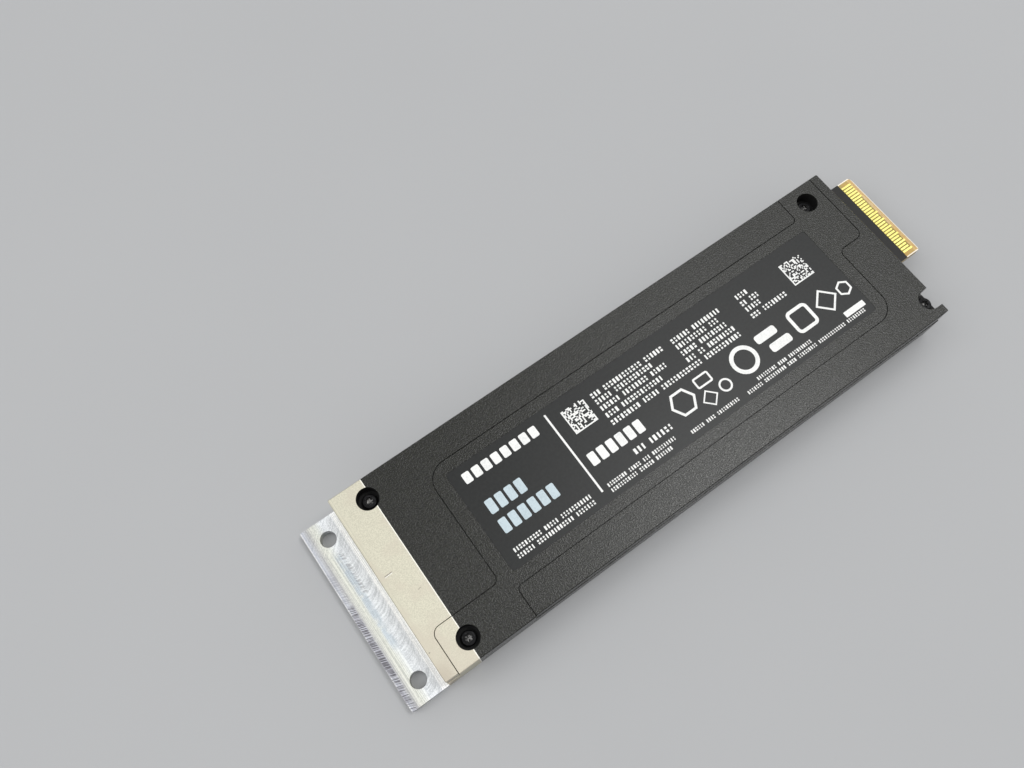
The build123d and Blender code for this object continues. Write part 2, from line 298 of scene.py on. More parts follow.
def cutter_finish(coat):
    """Colour, roughness and height of the milled lip: bands along it, cutter lines, chatter and a painted
    highlight on its front edge.
    """
    across = coat.x - lip_front
    metal = coat.ramp(across / lip_length, lip_bands_and_edge_highlight)
    dip = coat.window(across, *blue_across) * coat.window(coat.y, *blue_along)
    metal = coat.blend(dip * coat.ease(coat.noise(1.2, 2.0), 0.25, 0.60), metal, cutter_blue)
    feed = coat.noise(1.0, 2.0, coat.at(across / feed_pitch, coat.y * 0.05, coat.z))
    inward = across - arc_start
    bow = (arc_radius ** 2 - inward * inward).highest(0.01).root()
    arcs = coat.noise(1.0, 2.0, coat.at((coat.y + bow) / arc_pitch, across * 0.3, 7.0))
    swirl = coat.noise(1.0, 2.0, coat.at((across - coat.y) / arc_pitch, (across + coat.y) * 0.1, 3.0))
    by_hole = 1 - coat.ease(coat.span(latch_hole_x, latch_hole_y), *swirl_reach)
    curved = coat.window(across, *arcs_across)
    arcs = arcs * (1 - by_hole) + swirl * by_hole
    curved = curved.highest(by_hole) * 0.65
    grit = coat.noise(grit_size, 2.0)
    lines = coat.ease((feed * (1 - curved) + arcs * curved) * 0.65 + grit * 0.35, 0.36, 0.62)
    metal = coat.shade(metal, coat.blend(lines, cutter_shade, (1.0, 1.0, 1.0)))
    rake = coat.noise(1.0, 1.0, coat.at(across * 0.15, (coat.y + across * 0.35) / chatter_pitch, coat.z))
    clumps = coat.noise(2.5, 1.0)
    strength = 1 - coat.ease(coat.y, 0.0, 5.0) * 0.65 - coat.ease(coat.y, 7.0, 10.0) * 0.3
    front_row = coat.window(across, *front_chatter_across) * strength * (coat.z > lip_top - 0.05)
    metal = coat.blend(front_row * coat.ease(clumps, 0.25, 0.6), metal, chatter_lilac)
    inner_row = coat.window(across, *inner_chatter_across)
    inner_row = inner_row * coat.window(coat.y, *inner_chatter_along) * 0.45
    streaks = coat.ease(rake + clumps * 0.25, 0.56, 0.66) * front_row.highest(inner_row)
    metal = coat.blend(streaks, metal, chatter_grey)
    return metal, 0.47 - lines * 0.10, lines * 0.5 - streaks * 0.8


def blasted_finish(coat):
    """Colour and height of the bare band: an even blast, a little handling, a few marks and a painted
    highlight along its border with the black coat.
    """
    fine = coat.noise(blast_fine, 3.0)
    brush = coat.noise(1.0, 2.0, coat.at((coat.x - case_front) / brush_pitch, coat.y * 0.06, coat.z))
    by_edge = 1 - coat.ease(coat.x - case_front, 0.4, 1.4)
    pale = coat.ease(fine * (1 - by_edge * 0.6) + brush * by_edge * 0.6, 0.30, 0.70)
    metal = coat.blend(pale, blasted_dull, blasted_pale)
    touched = coat.ease(coat.noise(4.0, 2.0) + by_edge * 0.12 - coat.y * 0.006, 0.46, 0.74)
    metal = coat.blend(touched * 0.7, metal, blasted_handled)
    corner = (1 - coat.ease(coat.x - case_front, 0.6, 2.6)) * (1 - coat.ease(coat.y, -16.0, -12.5))
    metal = coat.blend(corner * 0.6, metal, blasted_soiled)
    dents = coat.scratch(*dent_lines[0])
    for dent_line in dent_lines[1:]:
        dents = dents.highest(coat.scratch(*dent_line))
    burrs = coat.scratch(*burr_line)
    metal = coat.blend(dents * 0.8, metal, scratch_dark)
    metal = coat.blend(burrs * 0.8, metal, scratch_bright)
    # Painted highlight: a bright line along the band's border with the black coat.
    border = coat.ease(coat.x, case_front + bare_band - border_highlight_width, case_front + bare_band)
    metal = coat.blend(border * 0.8, metal, painted_border_highlight)
    return metal, fine * 0.35 - dents * 0.5 + burrs * 0.5


def case_finish():
    """Black blasted coat, a crisp bare band at the front and the bright lip ahead of it."""
    coat = Finish("case_coat")
    grain = coat.ease(coat.noise(blast_grain, 2.0), 0.38, 0.62)
    cloud = coat.noise(14.0, 2.0)
    black = coat.blend(grain * 0.8 + cloud * 0.2, anodic_black, anodic_sheen)
    case_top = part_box("upper_case")[1].z / mm
    bare, bare_height = blasted_finish(coat)
    milled, milled_roughness, milled_height = cutter_finish(coat)
    on_lip = coat.x < case_front - 0.01
    on_band = coat.x < case_front + bare_band
    in_bore = 0.0
    for axis in screw_axes():
        in_bore = in_bore + (coat.span(axis.x, axis.y) < bore_rim)
    on_band = on_band * (1 - in_bore)
    # Painted shade: the coat in the counterbores is darker below their mouth.
    black = coat.blend(in_bore * (coat.z < case_top - bore_mouth), black, painted_bore_shade)
    colour = coat.blend(on_band, black, bare)
    coat_roughness = black_roughness - grain * 0.04 + on_band * band_roughness_gain
    coat_roughness = coat_roughness + in_bore * bore_roughness_gain
    coat.paint({
        "Base Color": coat.blend(on_lip, colour, milled),
        "Metallic": on_band * band_metallic + on_lip * lip_metallic_gain,
        "Roughness": coat_roughness * (1 - on_lip) + milled_roughness * on_lip,
        "Specular IOR Level": coat_specular,
    })
    height = grain * 0.35 * (1 - on_band) + bare_height * on_band * (1 - on_lip)
    coat.relief(height + milled_height * on_lip * 0.2, coat_relief)
    return coat


case_coat = case_finish()
dress(case_coat, "lower_case")

# Main board: a laminate under a dark coat, lying in the lower case with its tongue out of the end.
# The coat stops where the contacts start, and the tip is bevelled down to pale bare laminate.
contact_low, contact_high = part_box("edge_contacts_top")
board_low, board_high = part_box("main_board")
coat_gap = 0.03
coat_end = contact_low.x / mm - coat_gap
bevel_fade = 0.25
bevel_start = contact_high.x / mm - bevel_fade
card_tip = board_high.x / mm
rim_highlight_width = 0.19
glass_size = 0.16
ply_thickness = 0.07
dark_coat = (0.0045, 0.0043, 0.0038)
dark_coat_light = (0.0078, 0.0075, 0.0066)
laminate_olive = (0.185, 0.155, 0.036)
laminate_tan = (0.28, 0.23, 0.068)
margin_tan = (0.345, 0.290, 0.118)
bevel_peach = (0.51, 0.315, 0.088)
bevel_pale = (0.60, 0.46, 0.265)
painted_rim_highlight = (0.88, 0.82, 0.70)
cut_tan = (0.44, 0.345, 0.19)
cut_pale = (0.60, 0.50, 0.32)


def board_finish():
    """Dark coat, olive laminate between the contacts, a peach bevel, plies on the cut sides and a painted
    highlight along the tongue's edges.
    """
    board = Finish("board_coat")
    glass = board.noise(glass_size, 3.0)
    haze = board.noise(1.6, 2.0)
    coated = board.blend(board.ease(glass * 0.4 + haze * 0.6, 0.35, 0.65), dark_coat, dark_coat_light)
    plies = board.noise(1.0, 1.0, board.at(board.x * 0.3, board.y * 0.3, board.z / ply_thickness))
    weave = board.ease(glass * 0.6 + plies * 0.4, 0.36, 0.64)
    bare = board.blend(weave, laminate_olive, laminate_tan)
    tip = [vertex.co.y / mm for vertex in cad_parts["main_board"].data.vertices
           if vertex.co.x > contact_low.x]
    to_side = (max(tip) - min(tip)) / 2 - abs(board.y - (max(tip) + min(tip)) / 2)
    between = (board.y > contact_low.y / mm) * (board.y < contact_high.y / mm)
    bare = board.blend(1 - between, bare, board.blend(weave, margin_tan, bevel_peach))
    on_bevel = board.ease(board.x, bevel_start, bevel_start + bevel_fade)
    bare = board.blend(on_bevel, bare, board.blend(weave, bevel_peach, bevel_pale))
    # Painted highlight: a pale line along the tongue's tip and sides, where its edges catch the light.
    rim = board.ease((card_tip - board.x).lowest(to_side), rim_highlight_width * 0.6, rim_highlight_width * 1.4)
    bare = board.blend(rim, painted_rim_highlight, bare)
    upright = abs(board.add("ShaderNodeSeparateXYZ", {}, {
        0: board.add("ShaderNodeNewGeometry", {}, {}, "Normal")}, "Z")) < 0.5
    bare = board.blend(upright, bare, board.blend(weave, cut_tan, cut_pale))
    is_bare = (board.x > coat_end).highest(upright)
    board.paint({
        "Base Color": board.blend(is_bare, coated, bare),
        "Roughness": 0.46 + is_bare * 0.14 + glass * 0.08,
        "Specular IOR Level": 0.30,
    })
    board.relief(glass * (0.3 + is_bare * 0.7), 0.012)
    return board


dress(board_finish(), "main_board")

# Edge contacts: a row of copper fingers on each face of the tongue, plated with hard gold.
# Insertion leaves fine bright wipe lines along them.
gold_bright = (0.73, 0.67, 0.230)
gold_deep = (0.57, 0.475, 0.140)
wipe_length = 2.5
wipe_pitch = 0.05


def gold_finish():
    gold = Finish("finger_gold")
    wipe = gold.noise(1.0, 2.0, gold.at(gold.x / wipe_length, gold.y / wipe_pitch, gold.z))
    bloom = gold.noise(0.5, 2.0)
    shine = gold.ease(wipe * 0.6 + bloom * 0.4, 0.3, 0.7)
    gold.paint({
        "Base Color": gold.blend(shine, gold_deep, gold_bright),
        "Metallic": 1.0,
        "Roughness": 0.52 - shine * 0.12,
    })
    gold.relief(wipe, 0.004)
    return gold


dress(gold_finish(), "edge_contacts_top", "edge_contacts_bottom")

# Chips: black moulded packages soldered to both faces of the board. The large ones sit on a thin
# green substrate, and the moulding has a dull, finely pitted face.
chip_black = (0.016, 0.016, 0.018)
chip_grey = (0.040, 0.040, 0.043)
substrate_green = (0.035, 0.085, 0.045)
substrate_height = 0.25
large_chips = ("controller", "flash_top_front", "flash_top_rear", "flash_bottom_front",
               "flash_bottom_rear", "working_memory_top", "working_memory_bottom")
small_chips = ("power_manager", "load_switch", "boot_memory")


def chip_finish(name, substrate):
    chip = Finish(name)
    pits = chip.noise(0.12, 3.0)
    haze = chip.noise(3.5, 2.0)
    colour = chip.blend(chip.ease(pits * 0.6 + haze * 0.4, 0.35, 0.65), chip_black, chip_grey)
    board_middle = (board_low.z + board_high.z) / 2 / mm
    reach = (board_high.z - board_low.z) / 2 / mm + substrate
    low_down = abs(chip.z - board_middle) < reach
    chip.paint({
        "Base Color": chip.blend(low_down, colour, substrate_green),
        "Roughness": 0.50 + pits * 0.2,
    })
    chip.relief(pits, 0.008)
    return chip


dress(chip_finish("chip_mould_on_substrate", substrate_height), *large_chips)
dress(chip_finish("chip_mould_small", 0.0), *small_chips)

# Back-up capacitors, inductors, crystal, ceramic capacitors and lamps: small parts soldered to the
# board, each with the finish of its own make: moulding, pressed ferrite, drawn can, fired ceramic
# with tinned ends, and clear lens.
# Each one: dark and light colour, grain in millimetres, metallic and roughness.
small_part_looks = {
    "backup_capacitors": ((0.030, 0.027, 0.024), (0.070, 0.062, 0.054), 0.10, 0.0, 0.55),
    "power_inductors": ((0.090, 0.090, 0.095), (0.170, 0.170, 0.178), 0.16, 0.1, 0.62),
    "clock_crystal": ((0.60, 0.59, 0.56), (0.80, 0.79, 0.77), 0.30, 1.0, 0.30),
    "bypass_capacitors_top": ((0.36, 0.25, 0.16), (0.52, 0.39, 0.27), 0.14, 0.0, 0.45),
    "bypass_capacitors_bottom": ((0.36, 0.25, 0.16), (0.52, 0.39, 0.27), 0.14, 0.0, 0.45),
    "status_lamps": ((0.78, 0.79, 0.72), (0.92, 0.93, 0.88), 0.25, 0.0, 0.12),
}


def small_part_finish(node, dark, light, grain_size, metal, roughness):
    part = Finish(node + "_finish")
    grain = part.noise(grain_size, 3.0)
    part.paint({
        "Base Color": part.blend(part.ease(grain, 0.35, 0.65), dark, light),
        "Metallic": metal,
        "Roughness": roughness + grain * 0.1,
    })
    part.relief(grain, 0.006)
    return part


for part_name, looks in small_part_looks.items():
    dress(small_part_finish(part_name, *looks), part_name)

# Thermal pads: soft filled silicone laid on the chips, pressed against the case above and below.
# It is blue-grey, dull and slightly lumpy from its filler.
pad_blue = (0.34, 0.40, 0.46)
pad_light = (0.47, 0.52, 0.57)


def pad_finish():
    pad = Finish("pad_silicone")
    filler = pad.noise(0.35, 3.0)
    pad.paint({
        "Base Color": pad.blend(pad.ease(filler, 0.3, 0.7), pad_blue, pad_light),
        "Roughness": 0.75 + filler * 0.15,
    })
    pad.relief(filler, 0.03)
    return pad


dress(pad_finish(), "controller_thermal_pad", "flash_thermal_pad_top", "flash_thermal_pad_bottom")

# Upper case: a shallow tray, mouth down, with a pocket milled in its top for the lid.
# It is blasted and anodised black together with the lower case, and bare on the same front band.
dress(case_coat, "upper_case")

# Lid plate: a thin plate let into the upper case, flush with it but for a fine dark seam.
# Its two ears run out to the sides, where a screw holds each one down.
dress(case_coat, "lid_plate")

# Label: a smooth dark film stuck in the lid's shallow recess. All its print is plain shapes that
# say nothing: rows of blocks and cells, a rule, bars, outlined badges and two seeded squares.
# It is white ink, bluish in two rows of cells, a hundredth of a millimetre thick.
label_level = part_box("label")[1].z / mm
film_dark = (0.0064, 0.0072, 0.0070)
film_light = (0.0098, 0.0108, 0.0105)
ink_thickness = 0.012
ink_sink = 0.002
ink_white = (0.76, 0.76, 0.74)
ink_worn = (0.64, 0.65, 0.64)
ink_blue = (0.46, 0.55, 0.59)
ink_blue_worn = (0.39, 0.47, 0.51)
block_share = 0.63
cell_share = 0.74
cell_corner = 0.25
split_gap = 0.22
block_seed = 7
code_seed = 21
rule_place = (-16.1, 0.45, 0.34, 15.7, 0.02)
code_cells = 18
code_cell = 0.25
code_cell_fill = 0.97
code_ink_share = 0.46
code_places = [(-11.5, 4.85), (35.6, 4.3)]

# Rows of blocks: left end, middle height, block height, block step and the blocks in each group.
block_rows = [
    (-8.1, -5.2, 1.0, 0.80, (3, 6)),
    (-8.0, 6.4, 0.88, 0.66, (3, 12, 6)), (-8.0, 5.1, 0.88, 0.66, (5, 12)),
    (-8.0, 3.75, 0.88, 0.66, (6, 8, 5)), (-8.0, 2.3, 0.88, 0.66, (4, 13)),
    (-8.0, 0.8, 0.88, 0.66, (9, 5, 13, 12)),
    (9.0, 6.3, 0.88, 0.66, (6, 9)), (9.0, 5.0, 0.88, 0.66, (10, 3)),
    (9.0, 3.6, 0.88, 0.66, (5, 9)), (9.0, 2.2, 0.88, 0.66, (3, 2, 9)),
    (23.2, 6.25, 0.88, 0.66, (4,)), (23.2, 4.8, 0.88, 0.66, (2, 3)),
    (23.2, 3.5, 0.88, 0.66, (5,)), (23.2, 2.0, 0.88, 0.66, (3, 8)),
    (-33.1, -6.8, 0.72, 0.54, (10, 5, 11)), (-33.1, -7.95, 0.72, 0.54, (6, 13, 7)),
    (-14.9, -7.1, 0.64, 0.48, (8, 5, 3, 10)), (-14.9, -8.1, 0.64, 0.48, (11, 6, 7)),
    (1.6, -8.0, 0.62, 0.465, (6, 4, 10)), (16.5, -7.2, 0.62, 0.465, (9, 4, 11)),
    (13.6, -8.2, 0.62, 0.465, (7, 10, 4, 9, 13, 9)),
]
# Rows of equal cells: left end, middle height, cell height, cell step and number of cells.
white_cells = [(-33.2, 7.0, 1.9, 1.86, 8), (-14.9, -2.2, 2.3, 1.86, 6)]
blue_cells = [(-32.7, 1.0, 2.5, 1.86, 4), (-32.7, -2.7, 2.5, 1.86, 6)]
# Bars and outlined boxes: middle, width, height, corner and, for a box, stroke.
white_bars = [
    rule_place, (38.7, -7.1, 4.4, 1.05, 0.10), (23.0, -1.9, 4.4, 1.6, 0.5), (24.2, -4.5, 4.4, 1.6, 0.5),
]
white_boxes = [(9.0, -2.0, 3.2, 2.1, 0.4, 0.34), (30.2, -3.2, 4.6, 4.6, 1.0, 0.62)]
# Outlined badges: middle, sides, radius, stroke and turn in degrees.
white_badges = [
    (3.9, -3.2, 6, 2.5, 0.50, 0.0), (8.1, -5.2, 4, 1.6, 0.34, 0.0), (11.6, -4.9, 32, 1.2, 0.34, 0.0),
    (17.1, -3.3, 32, 2.6, 0.75, 0.0), (35.8, -3.1, 4, 2.4, 0.50, 0.0), (39.9, -3.1, 6, 1.5, 0.40, 30.0),
]


class Pattern(Recipe):
    """A geometry tree with named inputs, run on a mesh and kept as a plain mesh."""

    def __init__(self, name, **inputs):
        super().__init__(bpy.data.node_groups.new(name, "GeometryNodeTree"))
        sockets = {"Geometry": "NodeSocketGeometry", **inputs}
        for label, kind in sockets.items():
            self.tree.interface.new_socket(label, in_out="INPUT", socket_type=kind)
        self.tree.interface.new_socket("Geometry", in_out="OUTPUT", socket_type="NodeSocketGeometry")
        self.given = self.tree.nodes.new("NodeGroupInput")

    def input(self, label):
        return Wire(self, self.given.outputs[label])

    def chance(self, low, high, seed):
        """A random number for each element."""
        return self.add("FunctionNodeRandomValue", {"data_type": "FLOAT"},
                        {2: low, 3: high, "Seed": seed}, 1)

    def box(self, width, height, corner=None):
        """An outlined box about the origin, with round corners if they are given."""
        outline = self.add("GeometryNodeCurvePrimitiveQuadrilateral", {},
                           {"Width": width, "Height": height})
        if corner is None:
            return outline
        return self.add("GeometryNodeFilletCurve", {"mode": "POLY"}, {
            "Curve": outline, "Count": 8, "Limit Radius": True, "Radius": corner})

    def plate(self, outlines, thickness):
        """A closed plate inside an outline, or between an outer and an inner one."""
        face = self.add("GeometryNodeFillCurve", {"mode": "TRIANGLES"}, {
            "Curve": self.add("GeometryNodeJoinGeometry", {}, {0: outlines})})
        raised = self.add("GeometryNodeExtrudeMesh", {"mode": "FACES"}, {
            "Mesh": face, "Offset": self.at(0.0, 0.0, 1.0), "Offset Scale": thickness,
            "Individual": False})
        under = self.add("GeometryNodeFlipFaces", {}, {"Mesh": face})
        shell = self.add("GeometryNodeJoinGeometry", {}, {0: [raised, under]})
        return self.add("GeometryNodeMergeByDistance", {}, {"Geometry": shell, "Distance": 1e-7})

    def close(self, geometry, material):
        """Make the copies real, give them their material and end the tree."""
        whole = self.add("GeometryNodeRealizeInstances", {}, {0: geometry})
        painted = self.add("GeometryNodeSetMaterial", {}, {"Geometry": whole, "Material": material})
        end = self.tree.nodes.new("NodeGroupOutput")
        self.tree.links.new(painted.socket, end.inputs[0])
        self.material = material

    def run(self, name, base, **values):
        """Run the tree on a base mesh and return a plain mesh object of that name."""
        piece = bpy.data.objects.new(name, base)
        bpy.context.scene.collection.objects.link(piece)
        growth = piece.modifiers.new("growth", "NODES")
        growth.node_group = self.tree
        for socket in self.tree.interface.items_tree:
            if socket.in_out == "INPUT" and socket.name in values:
                growth[socket.identifier] = values[socket.name]
        graph = bpy.context.evaluated_depsgraph_get()
        grown = bpy.data.meshes.new_from_object(piece.evaluated_get(graph))
        grown.materials.clear()
        grown.materials.append(self.material)
        grown.polygons.foreach_set("material_index", [0] * len(grown.polygons))
        piece.modifiers.remove(growth)
        piece.data = grown
        grown.name = name
        return piece


def film_finish():
    film = Finish("label_film")
    satin = film.noise(0.5, 2.0)
    film.paint({
        "Base Color": film.blend(film.ease(satin, 0.3, 0.7), film_dark, film_light),
        "Roughness": 0.34 + satin * 0.05,
        "Specular IOR Level": 0.26,
    })
    film.relief(film.noise(0.15, 2.0), 0.003)
    return film


def ink_finish(name, fresh, worn):
    ink = Finish(name)
    wear = ink.ease(ink.noise(0.2, 2.0) * 0.7 + ink.noise(2.5, 1.0) * 0.3, 0.3, 0.6)
    ink.paint({"Base Color": ink.blend(wear, worn, fresh), "Roughness": 0.55 - wear * 0.08})
    return ink


def block_pattern(material):
    """A block of print on each point, picked by its seed: whole or split in two."""
    blocks = Pattern("print_blocks", gap="NodeSocketFloat", thickness="NodeSocketFloat",
                     seed="NodeSocketInt")
    gap = blocks.input("gap")
    seed = blocks.input("seed")
    whole = blocks.plate([blocks.box(1.0, 1.0)], 1.0)
    half = blocks.plate([blocks.box(1.0, (1 - gap) / 2)], 1.0)
    halves = [blocks.add("GeometryNodeTransform", {}, {
        "Geometry": half, "Translation": blocks.at(0.0, (1 + gap) * side, 0.0)}) for side in (-0.25, 0.25)]
    split = blocks.add("GeometryNodeJoinGeometry", {}, {0: halves})
    kinds = blocks.add("GeometryNodeJoinGeometry", {}, {0: [
        blocks.add("GeometryNodeGeometryToInstance", {}, {0: kind}) for kind in (whole, split)]})
    height, width = (blocks.add("GeometryNodeInputNamedAttribute", {"data_type": "FLOAT"}, {"Name": name})
                     for name in ("block_height", "block_width"))
    wide = width * blocks.chance(0.65, 1.05, seed)
    picked = blocks.add("FunctionNodeRandomValue", {"data_type": "INT"}, {4: 0, 5: 1, "Seed": seed + 1}, 2)
    placed = blocks.add("GeometryNodeInstanceOnPoints", {}, {
        "Points": blocks.input("Geometry"), "Instance": kinds, "Pick Instance": True,
        "Instance Index": picked, "Scale": blocks.at(wide, height, blocks.input("thickness"))})
    blocks.close(placed, material)
    return blocks


def code_pattern(material):
    """A square of seeded cells with two solid sides."""
    code = Pattern("print_code", cells="NodeSocketInt", cell="NodeSocketFloat",
                   ink_share="NodeSocketFloat", thickness="NodeSocketFloat",
                   middle="NodeSocketVector", seed="NodeSocketInt")
    cells = code.input("cells")
    cell = code.input("cell")
    side = (cells - 1) * cell
    grid = code.add("GeometryNodeMeshGrid", {}, {
        "Size X": side, "Size Y": side, "Vertices X": cells, "Vertices Y": cells})
    spot = code.add("GeometryNodeInputPosition", {}, {})
    across, up = (code.add("ShaderNodeSeparateXYZ", {}, {0: spot}, axis) for axis in "XY")
    border = (cell - side) / 2
    inked = (code.chance(0.0, 1.0, code.input("seed")) < code.input("ink_share"))
    inked = inked.highest(across < border).highest(up < border)
    grid = code.add("GeometryNodeDeleteGeometry", {}, {"Geometry": grid, "Selection": 1 - inked})
    block = code.plate([code.box(cell * code_cell_fill, cell * code_cell_fill)], code.input("thickness"))
    blocks = code.add("GeometryNodeInstanceOnPoints", {}, {"Points": grid, "Instance": block})
    placed = code.add("GeometryNodeTransform", {}, {
        "Geometry": blocks, "Translation": code.input("middle")})
    code.close(placed, material)
    return code


def field_pattern(hollow, material):
    """A field with rounded corners, solid or only an outline."""
    field = Pattern("print_boxes" if hollow else "print_bars", width="NodeSocketFloat",
                    height="NodeSocketFloat", corner="NodeSocketFloat", stroke="NodeSocketFloat",
                    thickness="NodeSocketFloat", middle="NodeSocketVector")
    width, height, corner, stroke = (field.input(name) for name in ("width", "height", "corner", "stroke"))
    outlines = [field.box(width, height, corner)]
    if hollow:
        outlines.append(field.box(width - 2 * stroke, height - 2 * stroke, corner - stroke))
    placed = field.add("GeometryNodeTransform", {}, {
        "Geometry": field.plate(outlines, field.input("thickness")), "Translation": field.input("middle")})
    field.close(placed, material)
    return field


def badge_pattern(material):
    """A plain outlined ring, diamond or hexagon: a circle drawn with that many sides."""
    badge = Pattern("print_badges", sides="NodeSocketInt", radius="NodeSocketFloat",
                    stroke="NodeSocketFloat", turn="NodeSocketFloat", thickness="NodeSocketFloat",
                    middle="NodeSocketVector")
    radius = badge.input("radius")
    sides = badge.input("sides")
    outlines = [badge.add("GeometryNodeCurvePrimitiveCircle", {}, {"Resolution": sides, "Radius": reach})
                for reach in (radius, radius - badge.input("stroke"))]
    placed = badge.add("GeometryNodeTransform", {}, {
        "Geometry": badge.plate(outlines, badge.input("thickness")),
        "Translation": badge.input("middle"), "Rotation": badge.at(0.0, 0.0, badge.input("turn"))})
    badge.close(placed, material)
    return badge


def gather(name, parts):
    """Join plain mesh pieces of one material into one."""
    whole = bmesh.new()
    material = parts[0].data.materials[0]
    for part in parts:
        whole.from_mesh(part.data)
        bpy.data.objects.remove(part)
    mesh = bpy.data.meshes.new(name)
    whole.to_mesh(mesh)
    whole.free()
    mesh.materials.append(material)
    piece = bpy.data.objects.new(name, mesh)
    bpy.context.scene.collection.objects.link(piece)
    return piece


def on_label(x, y):
    """A place on the label, where the ink starts."""
    return (x * mm, y * mm, (label_level - ink_sink) * mm)


def block_spots():
    """A mesh with one point for each block of print, which carries the block's height and width."""
    spots = []
    sizes = {"block_height": [], "block_width": []}
    for x, y, height, step, groups in block_rows:
        place = x + step / 2
        for group in groups:
            for block in range(group):
                spots.append(on_label(place + block * step, y))
                sizes["block_height"].append(height * mm)
                sizes["block_width"].append(step * block_share * mm)
            place += (group + 1) * step
    mesh = bpy.data.meshes.new("block_spots")
    mesh.from_pydata(spots, [], [])
    for name, values in sizes.items():
        mesh.attributes.new(name, "FLOAT", "POINT").data.foreach_set("value", values)
    return mesh


def cell_bars(rows):
    """The cells of some rows as bars: middle, width, height and corner."""
    return [(x + (place + 0.5) * step, y, step * cell_share, height, cell_corner)
            for x, y, height, step, count in rows for place in range(count)]


def print_shapes(pattern, shapes, *names):
    """The same kind of shape at each of its places, its other numbers given by name."""
    pieces = []
    for x, y, *numbers in shapes:
        sizes = {name: number if name == "sides" else number * mm for name, number in zip(names, numbers)}
        if "turn" in sizes:
            sizes["turn"] = math.radians(sizes["turn"] / mm)
        pieces.append(pattern.run("print_shape", bpy.data.meshes.new("print_shape"), **sizes,
                                  thickness=ink_thickness * mm, middle=on_label(x, y)))
    return pieces


dress(film_finish(), "label")
white_ink = ink_finish("ink_white", ink_white, ink_worn)
blue_ink = ink_finish("ink_blue_white", ink_blue, ink_blue_worn)
white_print = [block_pattern(white_ink.material).run("print_blocks", block_spots(), gap=split_gap,
                                                     thickness=ink_thickness * mm, seed=block_seed)]
white_print += print_shapes(field_pattern(False, white_ink.material), white_bars + cell_bars(white_cells),
                            "width", "height", "corner")
white_print += print_shapes(field_pattern(True, white_ink.material), white_boxes,
                            "width", "height", "corner", "stroke")
white_print += print_shapes(badge_pattern(white_ink.material), white_badges,
                            "sides", "radius", "stroke", "turn")
blue_print = print_shapes(field_pattern(False, blue_ink.material), cell_bars(blue_cells),
                          "width", "height", "corner")
cell_pattern = code_pattern(white_ink.material)
for number, (code_x, code_y) in enumerate(code_places):
    white_print.append(cell_pattern.run(
        "print_code", bpy.data.meshes.new("print_code"), cells=code_cells, cell=code_cell * mm,
        ink_share=code_ink_share, seed=code_seed + number, thickness=ink_thickness * mm,
        middle=on_label(code_x, code_y)))
for print_piece in (gather("label_print", white_print), gather("label_print_pale", blue_print)):
    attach(print_piece, "root")

# Case screws: four small machine screws of black plated steel, driven down into counterbores.
# The head is turned with a slight dome, and its six-lobe recess is pressed in and worn bare by the driver,
# with glints painted on the recess rim and floor. The thread is rolled.
screw_steps = 48
recess_reach = 0.71
recess_waist = 0.51
recess_depth = 0.40
head_dome = 0.06
head_break = 0.15
shank_radius = 0.8
head_height = 0.75
thread_pitch = 0.35
thread_depth = 0.16
thread_rings_per_turn = 5
screw_black = (0.0050, 0.0050, 0.0056)
screw_rubbed = (0.022, 0.022, 0.023)
recess_break = 0.08
dome_ring = 0.84
tip_break = 0.02
# Rings of the recess: share of the lobes' reach, and depth.
recess_rings = ((0.40, recess_depth), (0.85, recess_depth * 0.85), (0.88, recess_break))
recess_wear_and_glint = (0.29, 0.285, 0.275)
turn_seed = 5
screw_low, screw_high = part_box("case_screws")
screw_top = screw_high.z / mm
screw_seat = screw_top - head_height


def screw_finish():
    steel = Finish("screw_black_plate")
    pits = steel.noise(0.12, 3.0)
    rubbed = steel.ease(steel.noise(0.4, 2.0), 0.50, 0.70)
    near_axis = 0.0
    for axis in screw_axes():
        near_axis = near_axis + (steel.span(axis.x, axis.y) < recess_reach + 0.02)
    below = screw_top - steel.z
    on_break = (below > 0.03) * (below < head_dome + recess_break)
    on_floor = (below > recess_depth * 0.8) * (below < head_height) * 0.5
    # Worn bare metal, with painted glints on the recess rim and floor.
    driven = (on_break + on_floor) * near_axis * steel.ease(steel.noise(0.3, 2.0), 0.42, 0.62)
    colour = steel.blend(rubbed, screw_black, screw_rubbed)
    steel.paint({
        "Base Color": steel.blend(driven, colour, recess_wear_and_glint),
        "Metallic": 0.5 + driven * 0.5,
        "Roughness": 0.40 + pits * 0.2 - driven * 0.2,
        "Specular IOR Level": 0.22,
    })
    steel.relief(pits, 0.01)
    return steel


